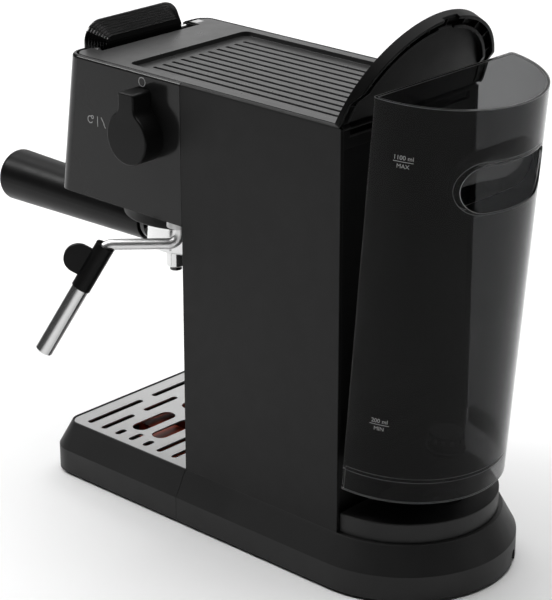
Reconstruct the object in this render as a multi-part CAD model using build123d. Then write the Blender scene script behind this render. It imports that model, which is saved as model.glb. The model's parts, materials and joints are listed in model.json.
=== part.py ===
from build123d import *
import math
import os

# Slim pump espresso machine. Millimetres, +Z up, -Y front, +X the steam side.
# The origin is on the resting plane under the middle of the footprint.

# Body
BODY_HALF = 65.0
BODY_TOP = 305.0
COLUMN_FRONT = -40.0
COLUMN_REAR = 94.8
WALL = 2.5
SEAM = 0.3
EDGE_R = 2.0

# Plinth: vertical skirt, then a chamfer up to the body width
BASE_BOTTOM = 2.0
CREASE_Z = 18.8
RIM_Z = 36.4
FLARE = 9.6
PLINTH_WALL = 3.0
CORD_ANGLE = 26.0
CORD_Z = 6.6
CORD_HOLE_R = 3.2
CORD_NOTCH_R = 4.3
TRAY_FRONT = -158.5
TRAY_CORNER = 10.0

# Brewing head
HEAD_FLOOR = 209.2
HEAD_FRONT_TOP = -146.6
HEAD_FRONT_LOW = -160.0
HEAD_CORNER = 12.0
GROUP_Y = -95.0

# Cup warmer on the top cover
COVER_INSET = 3.6
COVER_THICK = 6.6
WARMER_HALF = 55.0
WARMER_FRONT = -97.0
WARMER_REAR = 82.0
WARMER_DEPTH = 3.2
GROOVE_COUNT = 11
GROOVE_PITCH = 8.4
GROOVE_WIDTH = 3.0
GROOVE_DEPTH = 2.2
GROOVE_FRONT = -87.0
GROOVE_REAR = 73.0

# Brew paddle
PADDLE_HALF = 43.6
PADDLE_TOP = 320.0
PADDLE_LOW = 297.5
PADDLE_FRONT = -151.2
PADDLE_REAR = -138.4
PADDLE_CORNER = 14.0
PADDLE_BEVEL = 8.5
PADDLE_RIBS = 8
RIB_HEIGHT = 0.5
RIB_SHARE = 0.72
NOTCH_HALF = 45.4
NOTCH_FLOOR = 294.0
NOTCH_REAR = -133.2
PADDLE_PIVOT = (-144.0, 301.5)
PADDLE_ROD_R = 2.0

# Steam knob
KNOB_Y = -73.5
KNOB_Z = 265.0
KNOB_R = 18.0
KNOB_DEPTH = 15.5
KNOB_POINTER = 30.0
POINTER_HALF = 7.0
POINTER_BLEND = 7.0
KNOB_SHAFT_R = 4.0

# Group and filter holder
COLLAR_R = 47.0
COLLAR_LOW = 192.4
CUP_R = 31.5
CUP_WALL = 2.0
CUP_LOW = 168.4
CUP_TOP = 199.5
HANDLE_Z = 175.7
HANDLE_R_OUT = 18.7
HANDLE_R_IN = 15.9
HANDLE_END = -277.0
HANDLE_ROOT = -134.0
SPOUT_X = 17.0
SPOUT_R = 6.5
SPOUT_LOW = 155.5
CLIP_PIVOT = (-138.2, 189.9)

# Steam wand
WAND_X, WAND_Y = 52.6, -54.0
WAND_TUBE_R = 3.65
WAND_RUN_Z = 191.0
WAND_RUN = 48.5
WAND_LEAN = 30.3
WAND_BEND = 8.0
WAND_TAB_R = 9.9
SLEEVE_R = 6.6
SLEEVE_LEN = 33.8
NOZZLE_R = 6.0
NOZZLE_LEN = 52.0

# Water tank, given as seated; it is then lifted and tipped back as it stands
TANK_R = 66.3
TANK_CENTRE = 94.8
TANK_FACE = 98.5
TANK_LOW = 36.9
TANK_RIM = 297.3
TANK_WALL = 2.2
TANK_FLOOR = 50.4
TANK_FLOOR_THICK = 3.0
TANK_CORNER = 2.5
TANK_TIP = 4.85
TANK_LIFTED = (97.8, 69.7)
PEDESTAL_TOP = 49.7
PEDESTAL_FACE = 95.2
PEDESTAL_R = 62.4
VALVE_Y = 128.0
RECESS_Z = 247.0
RECESS_LEN = 78.0
RECESS_HIGH = 30.0
RECESS_WALL_Y = 142.0

# Tank lid, given as closed; it stands open
HINGE = (93.0, 303.0)
LID_OPEN = 67.0
LID_R = 68.2
LID_CENTRE = 93.5
LID_TOP = 305.0
LID_LOW = 297.6
LID_SHALLOW = 301.8
LID_RAMP = (112.0, 122.0)
LID_NOTCH_HALF = 7.0
HINGE_ROD_R = 1.5


def box(x0, x1, y0, y1, z0, z1):
    """Box between two corners."""
    return Pos((x0 + x1) / 2, (y0 + y1) / 2, (z0 + z1) / 2) * Box(x1 - x0, y1 - y0, z1 - z0)


def rod_z(x, y, z0, z1, r):
    """Upright cylinder."""
    return Pos(x, y, (z0 + z1) / 2) * Cylinder(r, z1 - z0)


def rod_x(y, z, x0, x1, r):
    """Cylinder along X."""
    return Pos((x0 + x1) / 2, y, z) * Rot(0, 90, 0) * Cylinder(r, x1 - x0)


def rod_y(x, z, y0, y1, r):
    """Cylinder along Y."""
    return Pos(x, (y0 + y1) / 2, z) * Rot(90, 0, 0) * Cylinder(r, y1 - y0)


def cone_y(x, z, y0, y1, r0, r1):
    """Cone along Y, radius r0 at y0 and r1 at y1."""
    return Pos(x, (y0 + y1) / 2, z) * Rot(-90, 0, 0) * Cone(r0, r1, y1 - y0)


def d_plan(half, y0, centre, r, z):
    """Plan face: straight from y0 to centre, then a half circle to the rear."""
    plan = Rectangle(2 * half, centre - y0)
    plan = Pos(0, (y0 + centre) / 2) * plan + Pos(0, centre) * Circle(r)
    cut = Pos(0, y0 - r) * Rectangle(4 * r, 2 * r)
    return Pos(0, 0, z) * (plan - cut)


def d_block(face_y, centre, r, z0, z1, corner=0.0):
    """Upright block with a flat front at face_y and a round rear."""
    block = rod_z(0, centre, z0, z1, r) & box(-2 * r, 2 * r, face_y, centre + 2 * r, z0, z1)
    if corner > 0:
        edges = block.edges().filter_by(Axis.Z).group_by(Axis.Y)[0]
        block = fillet(edges, corner)
    return block


def slot_plan(length, width):
    """Round-ended slot along X."""
    return Rectangle(length - width, width) + [
        Pos(s * (length - width) / 2, 0) * Circle(width / 2) for s in (-1, 1)
    ]


def tapered(plan, z0, z1, z2, inset):
    """Plan face extruded straight from z0 to z1, then leaning in by inset up to z2."""
    low = extrude(Pos(0, 0, z0) * plan, z1 - z0)
    lean = math.degrees(math.atan2(inset, z2 - z1))
    return low + extrude(Pos(0, 0, z1) * plan, z2 - z1, taper=lean)


def rear_plinth(shrink, z0, z1, z2):
    """Rear plinth solid, moved in by shrink all round."""
    plan = d_plan(BODY_HALF + FLARE - shrink, -90, COLUMN_REAR, BODY_HALF + FLARE - shrink, 0)
    return tapered(plan, z0, z1, z2, FLARE * (z2 - z1) / (RIM_Z - CREASE_Z))


def front_plinth(shrink, z0, z1, z2):
    """Drip tray outer solid, moved in by shrink all round."""
    half = BODY_HALF + FLARE - shrink
    front = TRAY_FRONT - FLARE + shrink
    radius = TRAY_CORNER + FLARE - shrink
    plan = Pos(0, front + 100) * RectangleRounded(2 * half, 200, radius)
    return tapered(plan, z0, z1, z2, FLARE * (z2 - z1) / (RIM_Z - CREASE_Z))


def base_shell():
    cut_y = box(-200, 200, COLUMN_FRONT, 300, -5, 60)
    shell = rear_plinth(0, BASE_BOTTOM, CREASE_Z, RIM_Z) & cut_y
    hollow = rear_plinth(PLINTH_WALL, BASE_BOTTOM, CREASE_Z, RIM_Z - PLINTH_WALL)
    shell -= hollow & box(-200, 200, COLUMN_FRONT + PLINTH_WALL, 300, -5, 60)
    # way in for the plate's tongue, and the cable notch in the rear skirt
    shell -= box(-56, 56, COLUMN_FRONT - 1, COLUMN_FRONT + 4, -1, 6.5)
    return shell - cord_notch(CORD_NOTCH_R, 60, 90)


def base_plate():
    plan = d_plan(71.0, COLUMN_FRONT + 3.2, COLUMN_REAR, 71.0, 3.0)
    plate = extrude(plan, 2.5)
    plate += box(-55, 55, -146, COLUMN_FRONT + 10, 3.0, 5.5)
    for x in (-30, 30):
        for y in (0, 60):
            plate -= rod_z(x, y, 2, 6, 1.9)
    return plate - cord_notch(CORD_NOTCH_R + 2.4, 60, 90)


def feet():
    spots = [(-44, -132), (44, -132), (0, 0), (-44, 112), (44, 112)]
    return [rod_z(x, y, 0, 3.0, 8.0) for x, y in spots]


def base_screws():
    made = []
    for x in (-30, 30):
        for y in (0, 60):
            made.append(rod_z(x, y, 2.2, 3.0, 3.4) + rod_z(x, y, 3.0, 8.0, 1.8))
    return made


def cord_line(r, near, far):
    """Cylinder on the cord's way out through the rear skirt, between two distances from its centre."""
    turned = Pos(0, COLUMN_REAR, CORD_Z) * Rot(0, 0, CORD_ANGLE)
    return turned * Pos(0, (near + far) / 2, 0) * Rot(90, 0, 0) * Cylinder(r, far - near)


def cord_notch(r, near, far):
    """The same, open downward."""
    turned = Pos(0, COLUMN_REAR, CORD_Z) * Rot(0, 0, CORD_ANGLE)
    return cord_line(r, near, far) + turned * box(-r, r, near, far, -CORD_Z, 0)


def cord_bushing():
    """Rubber bush in the notch, set back behind the skirt's face."""
    inside = BODY_HALF + FLARE - PLINTH_WALL
    sleeve = cord_notch(CORD_NOTCH_R, inside - 5, inside + 0.6)
    flange = cord_notch(CORD_NOTCH_R + 2.0, inside - 5, inside + 2)
    bush = sleeve + (flange & rear_plinth(PLINTH_WALL, BASE_BOTTOM, CREASE_Z, RIM_Z - PLINTH_WALL))
    bush &= box(-200, 200, 0, 300, BASE_BOTTOM + 0.1, 40)
    return bush - cord_line(CORD_HOLE_R, 50, 90)


def column_shell():
    outer = box(-BODY_HALF, BODY_HALF, COLUMN_FRONT, COLUMN_REAR, RIM_Z, BODY_TOP)
    inner = box(-BODY_HALF + WALL, BODY_HALF - WALL, COLUMN_FRONT + WALL, COLUMN_REAR + 5,
                RIM_Z - 1, BODY_TOP + 1)
    shell = outer - inner
    top = shell.edges().filter_by(Axis.Y).group_by(Axis.Z)[-1]
    shell = fillet([e for e in top if abs(abs(e.center().X) - BODY_HALF) < 0.01], EDGE_R)
    # the head opens into the column above its floor
    shell -= box(-BODY_HALF + WALL, BODY_HALF - WALL, COLUMN_FRONT - 1, COLUMN_FRONT + WALL + 1,
                 HEAD_FLOOR + 3, BODY_TOP + 1)
    # relief at the rear top corners, where the lid's edge swings past
    return shell - box(-BODY_HALF - 1, BODY_HALF + 1, COLUMN_REAR - 1.2, COLUMN_REAR + 1,
                       BODY_TOP - 1.6, BODY_TOP + 1)


def rear_panel():
    inner = BODY_HALF - WALL
    panel = box(-inner, inner, 89.6, 91.8, RIM_Z, 290.0)
    for z in range(70, 130, 10):
        panel -= box(-30, 30, 88, 93, z, z + 4)
    return panel


def head_prism(shrink, y_rear, z_low, z_top):
    """Head outline with its slanted front and round front corners, moved in by shrink."""
    slope = (HEAD_FRONT_TOP - HEAD_FRONT_LOW) / (BODY_TOP - HEAD_FLOOR)
    y_low = HEAD_FRONT_LOW + slope * (z_low - HEAD_FLOOR) + shrink
    y_top = HEAD_FRONT_LOW + slope * (z_top - HEAD_FLOOR) + shrink
    side = Plane.YZ * Polygon((y_low, z_low), (y_rear, z_low), (y_rear, z_top), (y_top, z_top), align=None)
    half = BODY_HALF - shrink
    prism = extrude(side, half, both=True)
    front = [e for e in prism.edges() if abs(abs(e.center().X) - half) < 0.01
             and e.center().Y < min(y_low, y_top) + abs(y_top - y_low)
             and abs(e.tangent_at(0.5).Z) > 0.9]
    return fillet(front, HEAD_CORNER - shrink)


def head_shell():
    shell = head_prism(0, COLUMN_FRONT - SEAM, HEAD_FLOOR, BODY_TOP)
    rim = [e for e in shell.edges() if e.center().Z > BODY_TOP - 0.01 and e.center().Y < COLUMN_FRONT - 1]
    shell = fillet(rim, EDGE_R)
    shell -= head_prism(WALL, COLUMN_FRONT + 10, HEAD_FLOOR - 1, BODY_TOP + 5)
    shell -= box(-NOTCH_HALF, NOTCH_HALF, -200, NOTCH_REAR, NOTCH_FLOOR, 400)
    shell -= rod_x(KNOB_Y, KNOB_Z, 55, 70, KNOB_SHAFT_R + 1)
    return shell


def head_floor():
    plate = head_prism(WALL, COLUMN_FRONT - SEAM, HEAD_FLOOR, HEAD_FLOOR + 3)
    plate -= rod_z(0, GROUP_Y, HEAD_FLOOR - 1, HEAD_FLOOR + 4, 40.0)
    plate -= rod_z(WAND_X, WAND_Y, HEAD_FLOOR - 1, HEAD_FLOOR + 4, 7.5)
    return plate


def top_cover():
    half = BODY_HALF - COVER_INSET
    y0 = HEAD_FRONT_TOP + COVER_INSET + 1.0
    y1 = 88.6
    z0 = BODY_TOP - COVER_THICK
    plan = Pos(0, (y0 + y1) / 2, z0) * Rectangle(2 * half, y1 - y0)
    cover = extrude(plan, COVER_THICK)
    front = cover.edges().filter_by(Axis.Z).group_by(Axis.Y)[0]
    cover = fillet(front, HEAD_CORNER - COVER_INSET)
    recess = box(-WARMER_HALF, WARMER_HALF, WARMER_FRONT, WARMER_REAR, BODY_TOP - WARMER_DEPTH, BODY_TOP + 1)
    recess = fillet(recess.edges().filter_by(Axis.Z), 5.0)
    cover -= recess
    floor = BODY_TOP - WARMER_DEPTH
    length = GROOVE_REAR - GROOVE_FRONT
    for i in range(GROOVE_COUNT):
        x = (i - (GROOVE_COUNT - 1) / 2) * GROOVE_PITCH
        groove = Pos(x, (GROOVE_FRONT + GROOVE_REAR) / 2, floor - GROOVE_DEPTH) * Rot(0, 0, 90)
        cover -= groove * extrude(slot_plan(length, GROOVE_WIDTH), GROOVE_DEPTH + 1)
    cover -= box(-NOTCH_HALF - 0.2, NOTCH_HALF + 0.2, -200, NOTCH_REAR + 1.7, NOTCH_FLOOR, 400)
    cover -= lens_block()
    return cover


def lens_block():
    """Room for the indicator window beside the paddle's far end."""
    return box(-54.6, -47.0, -142.2, -135.6, BODY_TOP - 3.4, BODY_TOP)


def indicator_lens():
    lens = lens_block()
    return chamfer(lens.edges().group_by(Axis.Z)[-1], 0.4)


def paddle_pocket():
    """Liner of the notch that the paddle rocks in; its cheeks carry the pivot rod."""
    front = PADDLE_PIVOT[0] - PADDLE_ROD_R - 0.6
    outer = box(-NOTCH_HALF, NOTCH_HALF, front, NOTCH_REAR + 1.5, NOTCH_FLOOR - 3, BODY_TOP - 1.0)
    inner = box(-NOTCH_HALF + 1.2, NOTCH_HALF - 1.2, -200, NOTCH_REAR, NOTCH_FLOOR - 1.5, BODY_TOP + 5)
    pocket = outer - inner
    pocket &= head_prism(WALL + 0.1, 0, HEAD_FLOOR, BODY_TOP + 4) + box(
        -NOTCH_HALF, NOTCH_HALF, -200, 0, NOTCH_FLOOR, BODY_TOP)
    return pocket - rod_x(*PADDLE_PIVOT, -60, 60, PADDLE_ROD_R)


def paddle_rod():
    return rod_x(*PADDLE_PIVOT, -NOTCH_HALF, NOTCH_HALF, PADDLE_ROD_R)


def paddle_outline(shrink):
    """Paddle outline in the XZ plane, moved in by shrink at the ends and the top."""
    half = PADDLE_HALF - shrink
    top = PADDLE_TOP - shrink
    radius = max(PADDLE_CORNER - shrink, 2.0)
    face = Rectangle(2 * half, 2 * (top - PADDLE_LOW))
    return fillet(face.vertices(), radius)


def brew_paddle():
    """Rocker with stepped ribs that follow its outline and shrink toward the rear."""
    step = (PADDLE_REAR - PADDLE_FRONT) / PADDLE_RIBS
    keep = box(-80, 80, -200, 0, PADDLE_LOW, 400)
    body = None
    for i in range(PADDLE_RIBS):
        shrink = PADDLE_BEVEL * i / (PADDLE_RIBS - 1)
        y0 = PADDLE_FRONT + i * step
        plane = Plane((0, y0, PADDLE_LOW), x_dir=(1, 0, 0), z_dir=(0, -1, 0))
        neck = extrude(plane * paddle_outline(shrink + RIB_HEIGHT), -step)
        rib = extrude(plane * paddle_outline(shrink), -step * RIB_SHARE) + neck
        body = rib if body is None else body + rib
    body &= keep
    return body - rod_x(*PADDLE_PIVOT, -60, 60, PADDLE_ROD_R + 0.08)


def steam_knob():
    disc = Circle(KNOB_R) + Pos(-KNOB_POINTER / 2, 0) * Rectangle(KNOB_POINTER, 2 * POINTER_HALF)
    disc = fillet([v for v in disc.vertices() if v.X < -KNOB_POINTER + 0.1], 2.0)
    neck = [v for v in disc.vertices() if -KNOB_R < v.X < -KNOB_R / 2 and abs(v.Y) > POINTER_HALF - 0.1]
    disc = fillet(neck, POINTER_BLEND)
    x0 = BODY_HALF + 0.4
    knob = Pos(x0, KNOB_Y, KNOB_Z) * Rot(0, 90, 0) * extrude(disc, KNOB_DEPTH)
    knob = fillet([e for e in knob.edges() if e.center().X > x0 + KNOB_DEPTH - 0.01], 1.2)
    return knob - rod_x(KNOB_Y, KNOB_Z, x0 - 1, x0 + 9, KNOB_SHAFT_R)


def knob_shaft():
    return rod_x(KNOB_Y, KNOB_Z, 47.0, BODY_HALF + 9.4, KNOB_SHAFT_R)


def steam_valve():
    body = rod_x(KNOB_Y, KNOB_Z, 30, BODY_HALF - WALL, 9.0) - rod_x(KNOB_Y, KNOB_Z, 46, 70, KNOB_SHAFT_R + 0.08)
    return body + box(34, 46, KNOB_Y - 8, KNOB_Y + 8, KNOB_Z - 16, KNOB_Z - 8)


def group_collar():
    skirt = rod_z(0, GROUP_Y, COLLAR_LOW, HEAD_FLOOR, COLLAR_R)
    skirt = fillet(skirt.edges().group_by(Axis.Z)[0], 1.5)
    skirt -= rod_z(0, GROUP_Y, COLLAR_LOW - 1, HEAD_FLOOR + 1, 38.4)
    return skirt


def group_head():
    body = rod_z(0, GROUP_Y, 203.2, 232, 38.2) - rod_z(0, GROUP_Y, 202, 206.5, 28.2)
    return body - (rod_z(0, GROUP_Y, 202, 205.2, 35.2) - rod_z(0, GROUP_Y, 202, 205.2, 30.2))


def group_gasket():
    return rod_z(0, GROUP_Y, 200.0, 205.2, 35.2) - rod_z(0, GROUP_Y, 199, 206, 30.2)


def shower_screen():
    disc = rod_z(0, GROUP_Y, 204.9, 206.5, 27.6)
    for ring, count in ((8, 6), (14, 12), (20, 18)):
        for i in range(count):
            a = 2 * math.pi * i / count
            disc -= rod_z(ring * math.cos(a), GROUP_Y + ring * math.sin(a), 204, 207, 1.0)
    return disc


def screen_screw():
    return rod_z(0, GROUP_Y, 203.3, 204.9, 3.5)


def boiler():
    block = box(-32, 32, GROUP_Y - 34, GROUP_Y + 34, 232, 256)
    block = fillet(block.edges().filter_by(Axis.Z), 8)
    return block + box(-10, 10, GROUP_Y - 8, GROUP_Y + 8, 256, 266)


def pump():
    body = rod_z(0, 10, 46, 96, 22) + rod_z(0, 10, 96, 150, 13)
    return body + rod_z(0, 10, 150, 168, 5)


def pump_mounts():
    ring = rod_z(0, 10, RIM_Z, 46, 26) - rod_z(0, 10, RIM_Z - 1, 47, 16)
    return ring


def water_pipe():
    path = FilletPolyline((0, 10, 168), (0, 10, 278), (0, GROUP_Y, 278), (0, GROUP_Y, 266), radius=10)
    start = Plane((0, 10, 168), x_dir=(1, 0, 0), z_dir=(0, 0, 1))
    return sweep(start * Circle(3), path=path)


def control_board():
    return box(-50, -48.4, -30, 60, 150, 270) + box(-62.5, -50, 0, 8, 190, 200)


def wand_socket():
    cup = rod_z(WAND_X, WAND_Y, 203.5, 224, 7.4) + rod_z(WAND_X, WAND_Y, 203.5, HEAD_FLOOR, 9.0)
    return cup - rod_z(WAND_X, WAND_Y, 200, 218, 5.3)


def wand_dir():
    """Unit vectors of the wand: along its level run, and down its lower leg."""
    run = Vector(math.sqrt(0.5), -math.sqrt(0.5), 0)
    a = math.radians(WAND_LEAN)
    return run, run * math.sin(a) + Vector(0, 0, -math.cos(a))


def wand_points():
    """Bend points of the wand tube's centre line."""
    run, leg = wand_dir()
    top = Vector(WAND_X, WAND_Y, 216)
    elbow = Vector(WAND_X, WAND_Y, WAND_RUN_Z)
    knee = elbow + run * WAND_RUN
    return top, elbow, knee, knee + leg * 21.8


def leg_cylinder(start, length, r):
    """Cylinder along the wand's lower leg."""
    run, leg = wand_dir()
    across = Vector(math.sqrt(0.5), math.sqrt(0.5), 0)
    return extrude(Plane(start, x_dir=across, z_dir=leg) * Circle(r), length)


def wand_tube():
    top, elbow, knee, end = wand_points()
    path = FilletPolyline(top, elbow, knee, end, radius=WAND_BEND)
    profile = Plane(top, x_dir=(1, 0, 0), z_dir=(0, 0, -1)) * Circle(WAND_TUBE_R)
    return sweep(profile, path=path)


def wand_ball():
    return rod_z(WAND_X, WAND_Y, 206.0, 216.5, 5.2) - rod_z(WAND_X, WAND_Y, 200, 216, WAND_TUBE_R)


def wand_sleeve():
    """Grip sleeve with a round finger tab in the plane of the bend."""
    run, leg = wand_dir()
    knee = wand_points()[2]
    across = Vector(math.sqrt(0.5), math.sqrt(0.5), 0)
    out = across.cross(leg) * -1 if across.cross(leg).dot(run) < 0 else across.cross(leg)
    start = knee + leg * 0.8
    sleeve = leg_cylinder(start, SLEEVE_LEN, SLEEVE_R)
    centre = knee + leg * 17.2 + out * 11.2
    disc = Plane(centre, x_dir=leg, z_dir=across) * Circle(WAND_TAB_R)
    web = Plane(knee + leg * 17.2 + out * 5.6, x_dir=leg, z_dir=across) * Rectangle(2 * WAND_TAB_R, 11.2)
    tab = extrude(disc, 1.6, both=True) + extrude(web, 1.6, both=True)
    sleeve += tab
    return sleeve - wand_tube() - leg_cylinder(start + leg * 21, 30, 4.0)


def wand_nozzle():
    run, leg = wand_dir()
    start = wand_points()[2] + leg * (0.8 + SLEEVE_LEN)
    body = leg_cylinder(start, NOZZLE_LEN, NOZZLE_R)
    body = fillet(body.edges().group_by(Axis.Z)[0], 1.0)
    body += leg_cylinder(start - leg * 11, 12, 4.0)
    return body - leg_cylinder(start - leg * 20, NOZZLE_LEN + 30, 1.2)


def filter_holder():
    cup = rod_z(0, GROUP_Y, CUP_LOW, CUP_TOP, CUP_R)
    cup = fillet(cup.edges().group_by(Axis.Z)[0], 3.0)
    cup -= rod_z(0, GROUP_Y, CUP_LOW + 3, CUP_TOP + 1, CUP_R - CUP_WALL)
    rim = rod_z(0, GROUP_Y, CUP_TOP - 4, CUP_TOP, 36.5)
    rim -= rod_z(0, GROUP_Y, CUP_TOP - 5, CUP_TOP + 1, CUP_R - CUP_WALL)
    for s in (-1, 1):
        rim += box(s * 36.6 - 1.0, s * 36.6 + 1.0, GROUP_Y - 6, GROUP_Y + 6, CUP_TOP - 4, CUP_TOP - 1)
    neck = rod_y(0, HANDLE_Z + 6, HANDLE_ROOT, GROUP_Y - CUP_R + 1, 7.0)
    neck -= rod_z(0, GROUP_Y, 150, CUP_TOP + 1, CUP_R - CUP_WALL)
    cup = cup + rim + neck
    for s in (-1, 1):
        cup -= rod_z(s * SPOUT_X, GROUP_Y, CUP_LOW - 1, CUP_LOW + 4, 3.0)
    return cup


def filter_basket():
    body = rod_z(0, GROUP_Y, CUP_LOW + 6, CUP_TOP, 28.5) - rod_z(0, GROUP_Y, CUP_LOW + 6.8, CUP_TOP + 1, 27.9)
    rim = rod_z(0, GROUP_Y, CUP_TOP, CUP_TOP + 0.4, 33.5)
    return body + (rim - rod_z(0, GROUP_Y, CUP_TOP - 1, CUP_TOP + 1, 27.9))


def handle():
    grip = cone_y(0, HANDLE_Z, HANDLE_END, HANDLE_ROOT, HANDLE_R_OUT, HANDLE_R_IN)
    grip = fillet(grip.edges().group_by(Axis.Y)[0], 4.0)
    # flat seat of the clip, with a thin cheek on each side for its pin
    grip -= box(-9.2, 9.2, -156.6, HANDLE_ROOT + 1, 187.6, 200)
    for x0, x1 in ((-9.2, -8.7), (8.7, 9.2)):
        grip += box(x0, x1, -141, HANDLE_ROOT, 187, 190.6)
    return grip - clip_pin()


def handle_ferrule():
    ring = rod_y(0, HANDLE_Z, HANDLE_ROOT, HANDLE_ROOT + 5.0, 14.4)
    return ring - rod_y(0, HANDLE_Z + 6, HANDLE_ROOT - 1, HANDLE_ROOT + 8, 7.0)


def spout():
    made = None
    for s in (-1, 1):
        tube = rod_z(s * SPOUT_X, GROUP_Y, SPOUT_LOW, CUP_LOW, SPOUT_R)
        tube = fillet(tube.edges().group_by(Axis.Z)[0], 1.5)
        made = tube if made is None else made + tube
    made += box(-SPOUT_X, SPOUT_X, GROUP_Y - 5, GROUP_Y + 5, 159, CUP_LOW)
    for s in (-1, 1):
        made -= rod_z(s * SPOUT_X, GROUP_Y, 150, CUP_LOW + 1, 3.0)
    return made


def spout_tips():
    tips = []
    for s in (-1, 1):
        tip = rod_z(s * SPOUT_X, GROUP_Y, SPOUT_LOW - 2.6, SPOUT_LOW, 4.2)
        tips.append(tip - rod_z(s * SPOUT_X, GROUP_Y, 150, 160, 3.0))
    return tips


def basket_clip():
    """Flip-up thumb clip that holds the basket while the puck is knocked out."""
    y, z = CLIP_PIVOT
    lever = box(-8.4, 8.4, -156.2, y, z - 1.7, z + 0.1) + box(-8.4, 8.4, -156.2, -151.6, z - 1.7, z + 3.8)
    lever += rod_x(y, z, -8.4, 8.4, 1.8)
    return lever - rod_x(y, z, -10, 10, 1.06)


def clip_pin():
    return rod_x(*CLIP_PIVOT, -9.2, 9.2, 1.0)


def drip_tray():
    keep = box(-200, 200, -300, COLUMN_FRONT - SEAM, -5, 60)
    tray = front_plinth(0, BASE_BOTTOM, CREASE_Z, RIM_Z) & keep
    hollow = front_plinth(PLINTH_WALL, BASE_BOTTOM - 1, CREASE_Z, RIM_Z - PLINTH_WALL)
    basin_half, basin_front, basin_rear = 61.0, TRAY_FRONT + 4.0, COLUMN_FRONT - 2.6
    block = box(-basin_half, basin_half, basin_front, basin_rear + 2, 8.0, RIM_Z)
    tray -= hollow - block
    w = 2.4
    basin = box(-basin_half + w, basin_half - w, basin_front + w, basin_rear - w + 2, 8.0 + w, RIM_Z + 1)
    tray -= fillet(basin.edges().filter_by(Axis.Z), 6.0)
    tray -= grille_plan(1.0, 34.6, RIM_Z + 1)
    return tray & keep


def grille_plan(rim, z0, z1):
    """Block in the outline of the grille seat, rim inside the tray's edge."""
    half = BODY_HALF - rim
    y0 = TRAY_FRONT + rim
    y1 = COLUMN_FRONT - SEAM - 0.6
    block = box(-half, half, y0, y1, z0, z1)
    front = block.edges().filter_by(Axis.Z).group_by(Axis.Y)[0]
    return fillet(front, TRAY_CORNER - rim)


def grille_slots():
    """Centre, length and width of each slot of the grille."""
    rows = []
    for y in (-144.0, -61.0):
        rows += [(s * 31.2, y, 51.8, 4.6) for s in (-1, 1)]
    for y in (-130.0, -75.0):
        rows += [(s * 42.1, y, 30.6, 4.6) for s in (-1, 1)] + [(0.4, y, 32.0, 4.6)]
    for y, inner in ((-116.2, 48.0), (-102.5, 45.0), (-88.8, 48.0)):
        rows += [(s * (inner + 57.3) / 2, y, 57.3 - inner, 4.6) for s in (-1, 1)]
    for y in (-112.2, -92.8):
        rows += [(s * 24.3, y, 37.0, 12.4) for s in (-1, 1)]
    return rows


def drip_grille():
    plate = grille_plan(1.4, 34.6, 35.8)
    for x, y, length, width in grille_slots():
        plate -= Pos(x, y, 34) * extrude(slot_plan(length, width), 3)
    return plate


def tray_float():
    """Level float: a plate on the basin floor with blocks that show through the wide slots."""
    made = box(-42, 42, -128, -92, 10.6, 14.0) + box(-24, 24, -128, -113, 14.0, 30.0)
    for s in (-1, 1):
        made += box(min(s * 10, s * 40), max(s * 10, s * 40), -111, -95, 14.0, 30.0)
    return made


def seated_to_lifted():
    """Location that carries the seated tank to where it stands, tipped and lifted."""
    a = math.radians(-TANK_TIP)
    y0, z0 = TANK_FACE, TANK_LOW
    y1 = y0 * math.cos(a) - z0 * math.sin(a)
    z1 = y0 * math.sin(a) + z0 * math.cos(a)
    return Location((0, TANK_LIFTED[0] - y1, TANK_LIFTED[1] - z1), (-TANK_TIP, 0, 0))


def recess_block(grow):
    """Finger recess of the tank: flat back wall, rounded ends, open to the rear."""
    start = Plane((0, 200, RECESS_Z), x_dir=(1, 0, 0), z_dir=(0, 1, 0))
    plan = slot_plan(RECESS_LEN + 2 * grow, RECESS_HIGH + 2 * grow)
    return extrude(start * plan, -(200 - RECESS_WALL_Y + grow))


def tank_shell():
    full = d_block(TANK_FACE, TANK_CENTRE, TANK_R, TANK_LOW, TANK_RIM, TANK_CORNER)
    inner_r = TANK_R - TANK_WALL
    face = TANK_FACE + TANK_WALL
    corner = TANK_CORNER - TANK_WALL
    floor_top = TANK_FLOOR + TANK_FLOOR_THICK
    shell = full - d_block(face, TANK_CENTRE, inner_r, floor_top, TANK_RIM + 1, corner)
    shell -= d_block(face, TANK_CENTRE, inner_r, TANK_LOW - 1, TANK_FLOOR, corner)
    # the skirt is open on the side of the column
    shell -= box(-inner_r + 0.6, inner_r - 0.6, 90, face + 1, TANK_LOW - 1, TANK_FLOOR)
    shell += recess_block(TANK_WALL) & full
    shell -= recess_block(0)
    shell -= rod_z(0, VALVE_Y, TANK_FLOOR - 1, floor_top + 1, 9.0)
    return seated_to_lifted() * shell


def tank_valve():
    top = TANK_FLOOR + TANK_FLOOR_THICK
    body = rod_z(0, VALVE_Y, TANK_FLOOR, top, 9.0) + rod_z(0, VALVE_Y, top, top + 2.5, 13.0)
    body += rod_z(0, VALVE_Y, top + 2.5, top + 7, 11.0)
    return seated_to_lifted() * (body - rod_z(0, VALVE_Y, TANK_FLOOR - 1, top + 8, 4.0))


def tank_filter():
    """Low strainer cap on the valve."""
    top = TANK_FLOOR + TANK_FLOOR_THICK + 7
    body = rod_z(0, VALVE_Y, top, top + 6, 11.0) - rod_z(0, VALVE_Y, top - 1, top + 4.8, 9.8)
    for i in range(12):
        body -= Pos(0, VALVE_Y, top + 2.4) * Rot(0, 0, 30 * i) * Pos(10.4, 0, 0) * Box(4, 2.6, 3.2)
    return seated_to_lifted() * body


def tank_pedestal():
    block = d_block(PEDESTAL_FACE, TANK_CENTRE, PEDESTAL_R, RIM_Z, PEDESTAL_TOP)
    rim = [e for e in block.edges().group_by(Axis.Z)[-1] if e.geom_type == GeomType.CIRCLE]
    block = fillet(rim, 0.8)
    return block - rod_z(0, VALVE_Y, 44, 51, 13.0)


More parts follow.
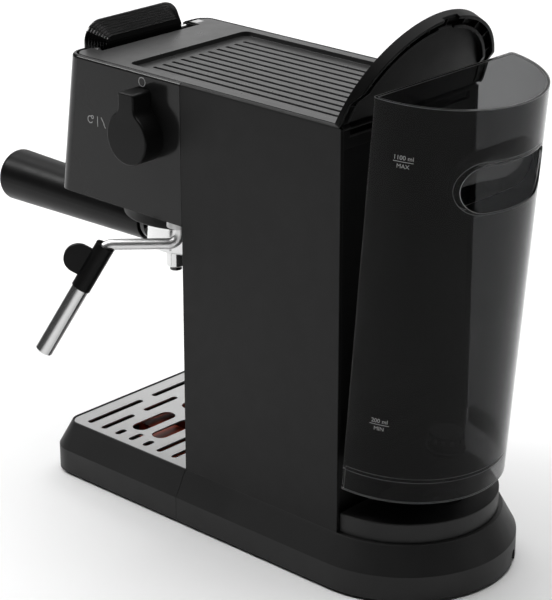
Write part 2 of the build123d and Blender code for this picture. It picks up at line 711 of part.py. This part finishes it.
def tank_inlet_seal():
    return rod_z(0, VALVE_Y, 44, 47.4, 13.0) - rod_z(0, VALVE_Y, 43, 49, 6.0)


def hinge_bracket():
    """Channel across the top of the rear with ears that carry the lid rod."""
    inner = BODY_HALF - WALL
    y, z = HINGE
    body = box(-inner, inner, 88.6, 91.0, 290.0, 301.0) + box(-inner, inner, 91.0, 94.6, 290.0, 296.5)
    for s in (-1, 1):
        x0, x1 = sorted((s * 56.5, s * inner))
        body += box(x0, x1, 91.0, 94.6, 290.0, z) + rod_x(y, z, x0, x1, 2.0)
    return body - rod_x(y, z, -70, 70, HINGE_ROD_R + 0.06)


def lid_hinge_rod():
    return rod_x(*HINGE, -62.4, 62.4, HINGE_ROD_R)


def lid_relief():
    """Space under the lid's shallow hinge side, ramping down to the full flange."""
    y0, y1 = LID_RAMP
    low = LID_LOW - 0.5
    side = Polygon((50, low), (y1, low), (y1, LID_LOW), (y0, LID_SHALLOW), (50, LID_SHALLOW), align=None)
    return extrude(Plane.YZ * side, 100, both=True)


def lid():
    """D-shaped cap: top plate, outer flange, and a ribbed ring inside it."""
    plate_low = LID_TOP - 2.2
    outer = d_block(HINGE[0] + 2.4, LID_CENTRE, LID_R, LID_LOW, LID_TOP, 2.0)
    cap = outer - d_block(HINGE[0] - 5, LID_CENTRE, LID_R - 2.0, LID_LOW - 1, plate_low)
    ring = rod_z(0, LID_CENTRE, LID_LOW + 1.0, plate_low, 61.0) - rod_z(0, LID_CENTRE, 290, 310, 59.0)
    cap += ring & box(-100, 100, HINGE[0] + 4, 200, 280, 310)
    for i in range(1, 12):
        rib = Pos(0, LID_CENTRE, 301.0) * Rot(0, 0, 180 * i / 12) * Pos(63.6, 0, 0) * Box(5.6, 0.8, 3.6)
        cap += rib & d_block(HINGE[0] + 4, LID_CENTRE, LID_R - 1.0, 290, 303)
    cap -= lid_relief()
    cap -= box(-LID_NOTCH_HALF, LID_NOTCH_HALF, 150, 170, LID_LOW - 1, LID_LOW + 2.5)
    knuckle = rod_x(*HINGE, -56.3, 56.3, 2.0) + box(-56.3, 56.3, HINGE[0], HINGE[0] + 3, 302.8, LID_TOP)
    cap += knuckle & box(-60, 60, 80, 100, 300, LID_TOP)
    cap -= rod_x(*HINGE, -70, 70, HINGE_ROD_R + 0.06)
    return Pos(0, *HINGE) * Rot(LID_OPEN, 0, 0) * Pos(0, -HINGE[0], -HINGE[1]) * cap


PARTS = [
    base_shell, base_plate, feet, base_screws, cord_bushing, column_shell, rear_panel, head_shell,
    head_floor, top_cover, indicator_lens, paddle_pocket, paddle_rod, brew_paddle, steam_knob,
    knob_shaft, steam_valve, group_collar, group_head, group_gasket, shower_screen, screen_screw,
    boiler, pump, pump_mounts, water_pipe, control_board, wand_socket, wand_tube, wand_ball,
    wand_sleeve, wand_nozzle, filter_holder, filter_basket, handle, handle_ferrule, spout,
    spout_tips, basket_clip, clip_pin, drip_tray, drip_grille, tray_float, tank_shell, tank_valve,
    tank_filter, tank_pedestal, tank_inlet_seal, hinge_bracket, lid_hinge_rod, lid,
]


def main():
    os.makedirs("parts", exist_ok=True)
    for make in PARTS:
        shape = make()
        if isinstance(shape, list):
            shape = Compound(children=shape)
        export_step(shape, "parts/" + make.__name__ + ".step")


main()
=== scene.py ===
import json
import math

import bmesh
import bpy
from mathutils import Matrix, Vector


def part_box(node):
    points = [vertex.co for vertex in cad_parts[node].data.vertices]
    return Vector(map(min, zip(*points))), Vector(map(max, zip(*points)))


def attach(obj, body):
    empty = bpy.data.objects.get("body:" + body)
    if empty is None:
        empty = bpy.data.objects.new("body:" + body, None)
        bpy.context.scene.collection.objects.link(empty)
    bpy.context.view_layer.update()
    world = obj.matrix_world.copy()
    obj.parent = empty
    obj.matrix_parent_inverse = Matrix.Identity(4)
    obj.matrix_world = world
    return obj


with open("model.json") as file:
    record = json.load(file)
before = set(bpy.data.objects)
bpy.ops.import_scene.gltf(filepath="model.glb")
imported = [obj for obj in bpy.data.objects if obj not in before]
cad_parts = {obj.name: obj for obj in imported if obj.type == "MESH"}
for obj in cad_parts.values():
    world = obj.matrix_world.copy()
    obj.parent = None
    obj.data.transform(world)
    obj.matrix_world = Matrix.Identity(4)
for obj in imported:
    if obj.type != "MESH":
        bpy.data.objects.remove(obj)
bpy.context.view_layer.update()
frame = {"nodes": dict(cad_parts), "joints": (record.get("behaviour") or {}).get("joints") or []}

NODES = frame["nodes"]
JOINTS = {joint["name"]: joint for joint in frame["joints"]}
MM = 0.001

# Camera, in metres
CAMERA_AT = Vector((1.0391, 0.9482, 0.7108))
CAMERA_LOOK = Vector((-0.6804, -0.6326, -0.3700))
CAMERA_LENS = 137.55

# The studio is bright in front of the machine and dim behind it
BRIGHT_SIDE = Vector((-0.17, -0.98, 0.1))


# ---------------------------------------------------------------- shader helpers

class Shader:
    """A material's node tree with one Principled shader, and short ways to add to it."""

    def __init__(self, name, rough, metal=0.0, **sockets):
        self.material = bpy.data.materials.new(name)
        self.material.use_nodes = True
        self.tree = self.material.node_tree
        self.surface = self.tree.nodes["Principled BSDF"]
        self.set("Roughness", rough)
        self.set("Metallic", metal)
        for socket, value in sockets.items():
            self.set(socket.replace("_", " "), value)
        self.place = self.node("ShaderNodeTexCoord").outputs["Object"]

    def set(self, socket, value):
        self.surface.inputs[socket].default_value = value

    def node(self, kind, **inputs):
        made = self.tree.nodes.new(kind)
        for socket, value in inputs.items():
            made.inputs[socket.replace("_", " ")].default_value = value
        return made

    def link(self, output, node, socket):
        self.tree.links.new(output, node.inputs[socket])

    def noise(self, scale, detail=3.0, stretch=None):
        """Noise in the object's own metres, drawn out along an axis where stretch is small."""
        place = self.place
        if stretch:
            mapping = self.node("ShaderNodeMapping", Scale=stretch)
            self.link(place, mapping, "Vector")
            place = mapping.outputs["Vector"]
        noise = self.node("ShaderNodeTexNoise", Scale=scale, Detail=detail, Roughness=0.55)
        self.link(place, noise, "Vector")
        return noise.outputs["Fac"]

    def tint(self, factor, dark, light):
        """Base colour between two linear colours."""
        mix = self.node("ShaderNodeMix")
        mix.data_type = "RGBA"
        mix.inputs[6].default_value = (*dark, 1)
        mix.inputs[7].default_value = (*light, 1)
        self.link(factor, mix, 0)
        self.tree.links.new(mix.outputs[2], self.surface.inputs["Base Color"])

    def spread(self, factor, low, high):
        """Roughness between two values."""
        span = self.node("ShaderNodeMapRange", From_Min=0.3, From_Max=0.7, To_Min=low, To_Max=high)
        self.link(factor, span, "Value")
        self.link(span.outputs["Result"], self.surface, "Roughness")

    def relief(self, factor, depth, strength, edge):
        """Bump of the given depth on edges that are softened by the given radius."""
        bump = self.node("ShaderNodeBump", Strength=strength, Distance=depth)
        self.link(factor, bump, "Height")
        if edge > 0:
            bevel = self.node("ShaderNodeBevel", Radius=edge)
            bevel.samples = 6
            self.link(bevel.outputs["Normal"], bump, "Normal")
        self.link(bump.outputs["Normal"], self.surface, "Normal")


def grey(value, warm=0.0):
    return (value * (1 + warm), value, value * (1 - warm))


# ---------------------------------------------------------------- materials

def shade(colour, factor):
    return tuple(channel * factor for channel in colour)


def moulded(name, colour, rough, shine, grain, depth, edge=0.5 * MM):
    """Moulded plastic: its tone drifts a little, and a fine grain breaks the reflection."""
    shader = Shader(name, rough, Specular_IOR_Level=shine)
    shader.tint(shader.noise(28, 2), shade(colour, 0.88), shade(colour, 1.12))
    shader.spread(shader.noise(90, 4), rough - 0.03, rough + 0.04)
    shader.relief(shader.noise(grain, 2), depth, 0.35, edge)
    return shader.material


def rubber(name, tone):
    shader = Shader(name, 0.7, Specular_IOR_Level=0.3)
    shader.tint(shader.noise(60, 3), grey(tone * 0.8), grey(tone * 1.3))
    shader.spread(shader.noise(300, 3), 0.62, 0.78)
    shader.relief(shader.noise(1800, 3), 0.06 * MM, 0.5, 0.4 * MM)
    return shader.material


def steel(name, tone, rough, stretch, depth=0.004 * MM, edge=0.25 * MM, warm=0.0):
    """Metal brushed along the axis where stretch is small."""
    shader = Shader(name, rough, metal=1.0)
    lines = shader.noise(1.0, 3, stretch)
    shader.tint(lines, grey(tone * 0.93, warm), grey(tone * 1.05, warm))
    shader.spread(lines, rough * 0.8, rough * 1.25)
    shader.relief(lines, depth, 0.5, edge)
    return shader.material


def cast_metal(name, tone, rough, warm=0.0):
    shader = Shader(name, rough, metal=1.0)
    shader.tint(shader.noise(140, 4), grey(tone * 0.85, warm), grey(tone * 1.1, warm))
    shader.spread(shader.noise(400, 4), rough - 0.08, rough + 0.1)
    shader.relief(shader.noise(1100, 4), 0.08 * MM, 0.5, 0.4 * MM)
    return shader.material


def smoke(name, tone):
    """Clear plastic with a heavy smoke tint."""
    shader = Shader(name, 0.0, Specular_IOR_Level=0.3, IOR=1.2, Transmission_Weight=1.0)
    shader.tint(shader.noise(9, 2), grey(tone * 0.96, -0.01), grey(tone * 1.04, -0.01))
    return shader.material


def circuit_board(name):
    """Solder mask with pale tracks and pads."""
    shader = Shader(name, 0.4, Specular_IOR_Level=0.5)
    cells = shader.node("ShaderNodeTexVoronoi", Scale=260.0)
    cells.distance = "CHEBYCHEV"
    shader.link(shader.place, cells, "Vector")
    pads = shader.node("ShaderNodeMapRange", From_Min=0.16, From_Max=0.22, To_Min=1.0, To_Max=0.0)
    shader.link(cells.outputs["Distance"], pads, "Value")
    shader.tint(pads.outputs["Result"], (0.01, 0.09, 0.03), (0.45, 0.42, 0.3))
    shader.relief(pads.outputs["Result"], 0.05 * MM, 0.4, 0)
    return shader.material


def pale_ink_and_painted_highlight(name, tone):
    """Matt pale ink, or a pale painted highlight standing in for the light caught in a clear edge."""
    shader = Shader(name, 0.5, Specular_IOR_Level=0.3)
    shader.tint(shader.noise(900, 2), grey(tone * 0.9), grey(tone * 1.05))
    return shader.material


ALONG_X = (25, 2600, 2600)
AROUND_Z = (160, 160, 3000)

MATTE = moulded("matte_black", grey(0.0085), 0.5, 0.2, 2400, 0.05 * MM)
PLINTH = moulded("plinth_black", grey(0.012), 0.46, 0.3, 2400, 0.05 * MM)
PANEL = moulded("panel_black", grey(0.010), 0.13, 0.2, 1500, 0.004 * MM)
# Top cover: black satin plastic whose base colour is made lighter grey as a painted sheen of the
# grazing light on top.
COVER_AND_PAINTED_SHEEN = moulded("cover_grey", grey(0.028), 0.3, 0.38, 1800, 0.02 * MM)
GLOSS = moulded("gloss_black", grey(0.004), 0.13, 0.5, 900, 0.004 * MM, 0.25 * MM)
GRIP = moulded("grip_black", grey(0.005), 0.34, 0.12, 1600, 0.03 * MM)
SATIN = moulded("satin_black", grey(0.004), 0.4, 0.08, 1600, 0.02 * MM)
CREAM = moulded("silicone", grey(0.5), 0.5, 0.4, 700, 0.02 * MM)
RED = moulded("float_red", (0.2, 0.022, 0.005), 0.4, 0.3, 900, 0.02 * MM)
CLEAR_LENS = moulded("lens_white", grey(0.4), 0.3, 0.5, 600, 0.01 * MM, 0.2 * MM)
PUMP_PAINT = moulded("pump_grey", grey(0.12), 0.4, 0.5, 500, 0.03 * MM)
SOFT = rubber("rubber_black", 0.014)
SEAL = rubber("rubber_grey", 0.06)
GRILLE = steel("steel_grille", 0.52, 0.46, ALONG_X)
TUBE = steel("steel_tube", 0.74, 0.4, (900, 900, 900))
NOZZLE = steel("steel_nozzle", 0.66, 0.2, (1500, 1500, 1500), 0.002 * MM)
CHROME = steel("steel_bright", 0.68, 0.14, AROUND_Z, 0.001 * MM)
BASKET = steel("steel_basket", 0.6, 0.3, AROUND_Z)
SCREW = steel("steel_screw", 0.5, 0.32, AROUND_Z)
PIN = steel("steel_pin", 0.55, 0.3, ALONG_X)
ALLOY = cast_metal("alloy", 0.5, 0.45)
BRASS = cast_metal("brass", 0.45, 0.3, 0.25)
SMOKE = smoke("smoke_clear", 0.14)
BOARD = circuit_board("board_green")
INK = pale_ink_and_painted_highlight("ink_grey", 0.42)
# pale matt bead that paints the highlight along the tank's clear edges
PAINTED_EDGE_HIGHLIGHT = pale_ink_and_painted_highlight("painted_edge_highlight", 0.8)

FINISH = {
    MATTE: ["column_shell", "rear_panel", "hinge_bracket", "group_collar", "head_floor",
            "base_plate", "paddle_pocket", "tank_valve"],
    PLINTH: ["base_shell", "drip_tray", "tank_pedestal"],
    PANEL: ["head_shell"],
    COVER_AND_PAINTED_SHEEN: ["top_cover"],
    GLOSS: ["brew_paddle", "handle_ferrule", "spout_tips"],
    GRIP: ["handle", "steam_knob", "wand_sleeve", "basket_clip"],
    SATIN: ["lid"],
    CREAM: ["water_pipe"],
    RED: ["tray_float"],
    CLEAR_LENS: ["indicator_lens"],
    PUMP_PAINT: ["pump"],
    SOFT: ["feet", "cord_bushing", "pump_mounts", "tank_inlet_seal"],
    SEAL: ["group_gasket", "tank_filter"],
    GRILLE: ["drip_grille"],
    TUBE: ["wand_tube"],
    NOZZLE: ["wand_nozzle"],
    CHROME: ["filter_holder", "spout"],
    BASKET: ["filter_basket", "shower_screen"],
    SCREW: ["base_screws", "screen_screw"],
    PIN: ["paddle_rod", "clip_pin", "lid_hinge_rod"],
    ALLOY: ["group_head", "boiler", "wand_socket", "wand_ball"],
    BRASS: ["steam_valve", "knob_shaft"],
    SMOKE: ["tank_shell"],
    BOARD: ["control_board"],
}


def paint(obj, material):
    obj.data.materials.clear()
    obj.data.materials.append(material)


def paint_nodes():
    """Give every node of the frame its material."""
    for material, names in FINISH.items():
        for name in names:
            paint(NODES[name], material)


# ---------------------------------------------------------------- printed marks and painted edge highlights

def from_seated(tank_joint):
    """Matrix that carries a point of the seated tank to where the tank stands."""
    pole = Vector(tank_joint["pos_m"])
    turn = -math.radians(tank_joint["range_deg"][0])
    rotate = Matrix.Rotation(turn, 4, Vector(tank_joint["axis"]))
    return Matrix.Translation(pole) @ rotate @ Matrix.Translation(-pole)


def text_mesh(words, size, thick):
    """Closed mesh of a word, centred, standing on its base line."""
    curve = bpy.data.curves.new("words", "FONT")
    curve.body = words
    curve.size = size
    curve.extrude = thick / 2
    curve.align_x = "CENTER"
    source = bpy.data.objects.new("words", curve)
    bpy.context.scene.collection.objects.link(source)
    bpy.context.view_layer.update()
    mesh = bpy.data.meshes.new_from_object(source)
    bpy.data.objects.remove(source)
    return mesh


def bar_mesh(length, width, thick, cuts=12):
    """Thin bar along X, cut across so that it can bend."""
    made = bmesh.new()
    rings = []
    for i in range(cuts + 1):
        x = length * (i / cuts - 0.5)
        corners = [(-1, -1), (1, -1), (1, 1), (-1, 1)]
        rings.append([made.verts.new((x, a * width / 2, b * thick / 2)) for a, b in corners])
    for a, b in zip(rings, rings[1:]):
        for i in range(4):
            made.faces.new((a[i], a[(i + 1) % 4], b[(i + 1) % 4], b[i]))
    made.faces.new(rings[0][::-1])
    made.faces.new(rings[-1])
    bmesh.ops.recalc_face_normals(made, faces=made.faces)
    mesh = bpy.data.meshes.new("bar")
    made.to_mesh(mesh)
    made.free()
    return mesh


def add_piece(name, mesh, body, material):
    piece = bpy.data.objects.new(name, mesh)
    bpy.context.scene.collection.objects.link(piece)
    paint(piece, material)
    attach(piece, body)
    return piece


INK_THICK = 0.08 * MM
TANK_AXIS_Y = 94.8 * MM
TANK_RADIUS = 66.3 * MM
MARK_ANGLE = math.radians(23.5)
# Name, height on the seated tank, amount and word of each level mark
LEVEL_MARKS = (("mark_max", 262.3 * MM, "1100 ml", "MAX"),
               ("mark_min", 89.2 * MM, "200 ml", "MIN"))
# Half the thickness of the pale bead painted as a highlight in the tank's edges, and how sharp an edge
# has to be
EDGE_HALF = 0.18 * MM
EDGE_TURN = math.radians(35)


def tank_marks():
    """Level marks on the tank's round wall: a line with the amount above it and a word below."""
    stand = from_seated(JOINTS["tank_seat"])
    for name, height, amount, word in LEVEL_MARKS:
        rows = (("line", bar_mesh(12.6 * MM, 0.35 * MM, INK_THICK), 0.0),
                ("amount", text_mesh(amount, 3.9 * MM, INK_THICK), 1.2 * MM),
                ("word", text_mesh(word, 3.7 * MM, INK_THICK), -4.0 * MM))
        for part, mesh, lift in rows:
            for vertex in mesh.vertices:
                along = MARK_ANGLE + vertex.co.x / TANK_RADIUS
                out = TANK_RADIUS + INK_THICK / 2 + vertex.co.z
                point = Vector((out * math.cos(along), TANK_AXIS_Y + out * math.sin(along),
                                height + lift + vertex.co.y))
                vertex.co = stand @ point
            add_piece(name + "_" + part, mesh, "tank", INK)


def tank_painted_edge_highlights():
    """Painted highlight on the clear wall's edges: a fine pale bead inside the wall along each sharp
    edge.
    """
    shell = NODES["tank_shell"]
    source = bmesh.new()
    source.from_mesh(shell.data)
    source.transform(shell.matrix_world)
    bmesh.ops.remove_doubles(source, verts=source.verts, dist=0.002 * MM)
    made = bmesh.new()
    for edge in source.edges:
        if len(edge.link_faces) != 2 or edge.calc_face_angle(0) < EDGE_TURN:
            continue
        start, end = (vertex.co for vertex in edge.verts)
        inward = -(edge.link_faces[0].normal + edge.link_faces[1].normal).normalized()
        across = (end - start).cross(inward).normalized()
        if (end - start).length < EDGE_HALF or across.length < 0.5:
            continue
        rings = [[made.verts.new(spot + inward * EDGE_HALF * (2 + a) + across * EDGE_HALF * b)
                  for a, b in ((-1, -1), (1, -1), (1, 1), (-1, 1))] for spot in (start, end)]
        for i in range(4):
            j = (i + 1) % 4
            made.faces.new((rings[0][i], rings[0][j], rings[1][j], rings[1][i]))
        made.faces.new(rings[0][::-1])
        made.faces.new(rings[1])
    bmesh.ops.recalc_face_normals(made, faces=made.faces)
    mesh = bpy.data.meshes.new("tank_painted_edge_highlights")
    made.to_mesh(mesh)
    source.free()
    made.free()
    add_piece("tank_painted_edge_highlights", mesh, "tank", PAINTED_EDGE_HIGHLIGHT)


def ring_mesh(radius, width, thick, turn=(0, 360), steps=40):
    """Flat ring or arc of a ring in the XY plane, between two angles."""
    closed = turn[1] - turn[0] >= 360
    made = bmesh.new()
    count = steps if closed else steps + 1
    rings = []
    for i in range(count):
        a = math.radians(turn[0] + (turn[1] - turn[0]) * i / steps)
        rings.append([made.verts.new(((radius + s * width / 2) * math.cos(a),
                                      (radius + s * width / 2) * math.sin(a), t * thick / 2))
                      for s, t in ((-1, -1), (1, -1), (1, 1), (-1, 1))])
    pairs = list(zip(rings, rings[1:])) + ([(rings[-1], rings[0])] if closed else [])
    for a, b in pairs:
        for i in range(4):
            made.faces.new((a[i], a[(i + 1) % 4], b[(i + 1) % 4], b[i]))
    if not closed:
        made.faces.new(rings[0])
        made.faces.new(rings[-1][::-1])
    bmesh.ops.recalc_face_normals(made, faces=made.faces)
    mesh = bpy.data.meshes.new("ring")
    made.to_mesh(mesh)
    made.free()
    return mesh


def head_marks():
    """Printed signs round the steam knob: off ring above it, steam and water signs in front."""
    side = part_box("head_shell")[1].x + INK_THICK / 2
    knob = (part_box("knob_shaft")[0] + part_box("knob_shaft")[1]) / 2
    signs = [("sign_off", ring_mesh(2.9 * MM, 0.6 * MM, INK_THICK), (-0.7, 34.1), 0),
             ("sign_steam_arc", ring_mesh(2.3 * MM, 0.5 * MM, INK_THICK, (60, 330)), (-50.5, -1.2), 0),
             ("sign_steam_puff", ring_mesh(1.0 * MM, 0.5 * MM, INK_THICK), (-48.4, 0.8), 0),
             ("sign_bar", bar_mesh(7.0 * MM, 0.45 * MM, INK_THICK), (-43.5, -1.3), 90),
             ("sign_water_1", bar_mesh(5.4 * MM, 0.5 * MM, INK_THICK), (-38.6, 0.0), 125),
             ("sign_water_2", bar_mesh(3.2 * MM, 0.5 * MM, INK_THICK), (-37.0, -3.2), 125)]
    upright = Matrix(((0, 0, 1, 0), (1, 0, 0, 0), (0, 1, 0, 0), (0, 0, 0, 1)))
    for name, mesh, (along, up), turn in signs:
        spot = Matrix.Translation((side, knob.y + along * MM, knob.z + up * MM))
        mesh.transform(spot @ upright @ Matrix.Rotation(math.radians(turn), 4, "Z"))
        add_piece(name, mesh, "machine", INK)


# ---------------------------------------------------------------- stage

def softbox(name, place, look_at, size, power):
    """Rectangular area light that faces a point."""
    light = bpy.data.lights.new(name, "AREA")
    light.shape = "RECTANGLE"
    light.size, light.size_y = size
    light.energy = power
    lamp = bpy.data.objects.new(name, light)
    lamp.location = place
    lamp.rotation_euler = (Vector(look_at) - Vector(place)).to_track_quat("-Z", "Y").to_euler()
    bpy.context.scene.collection.objects.link(lamp)


def stage():
    """World, floor, lights and the camera at the photograph's angle."""
    scene = bpy.context.scene
    scene.view_settings.view_transform = "Standard"
    world = bpy.data.worlds.new("studio")
    world.use_nodes = True
    tree = world.node_tree
    place = tree.nodes.new("ShaderNodeTexCoord")
    toward = tree.nodes.new("ShaderNodeVectorMath")
    toward.operation = "DOT_PRODUCT"
    toward.inputs[1].default_value = BRIGHT_SIDE
    ramp = tree.nodes.new("ShaderNodeMapRange")
    ramp.interpolation_type = "SMOOTHSTEP"
    for socket, value in (("From Min", -0.45), ("From Max", 0.35), ("To Min", 0.16), ("To Max", 0.85)):
        ramp.inputs[socket].default_value = value
    tree.links.new(place.outputs["Generated"], toward.inputs[0])
    tree.links.new(toward.outputs["Value"], ramp.inputs["Value"])
    tree.links.new(ramp.outputs["Result"], tree.nodes["Background"].inputs["Strength"])
    scene.world = world

    made = bmesh.new()
    bmesh.ops.create_grid(made, x_segments=2, y_segments=2, size=6.0)
    mesh = bpy.data.meshes.new("floor")
    made.to_mesh(mesh)
    made.free()
    floor = bpy.data.objects.new("floor", mesh)
    scene.collection.objects.link(floor)
    paper = Shader("paper", 0.85, Specular_IOR_Level=0.1)
    paper.tint(paper.noise(3, 2), grey(0.89), grey(0.91))
    paint(floor, paper.material)

    softbox("overhead", (-0.5, -0.4, 2.4), (-0.3, -0.2, 0), (3.4, 3.4), 100)
    softbox("key", (0.95, -1.6, 1.75), (0, 0, 0.2), (0.7, 0.7), 22)
    softbox("behind", (-2.0, -1.8, 1.1), (0, 0, 0.3), (2.6, 1.4), 10)
    softbox("rear_edge", (-1.1, 1.9, 0.9), (0, 0.1, 0.2), (0.3, 1.4), 2)

    lens = bpy.data.cameras.new("camera")
    lens.lens = CAMERA_LENS
    lens.sensor_width = 36.0
    lens.sensor_fit = "AUTO"
    lens.clip_end = 50
    camera = bpy.data.objects.new("camera", lens)
    camera.location = CAMERA_AT
    camera.rotation_euler = CAMERA_LOOK.to_track_quat("-Z", "Y").to_euler()
    scene.collection.objects.link(camera)
    scene.camera = camera


stage()
paint_nodes()
tank_marks()
tank_painted_edge_highlights()
head_marks()
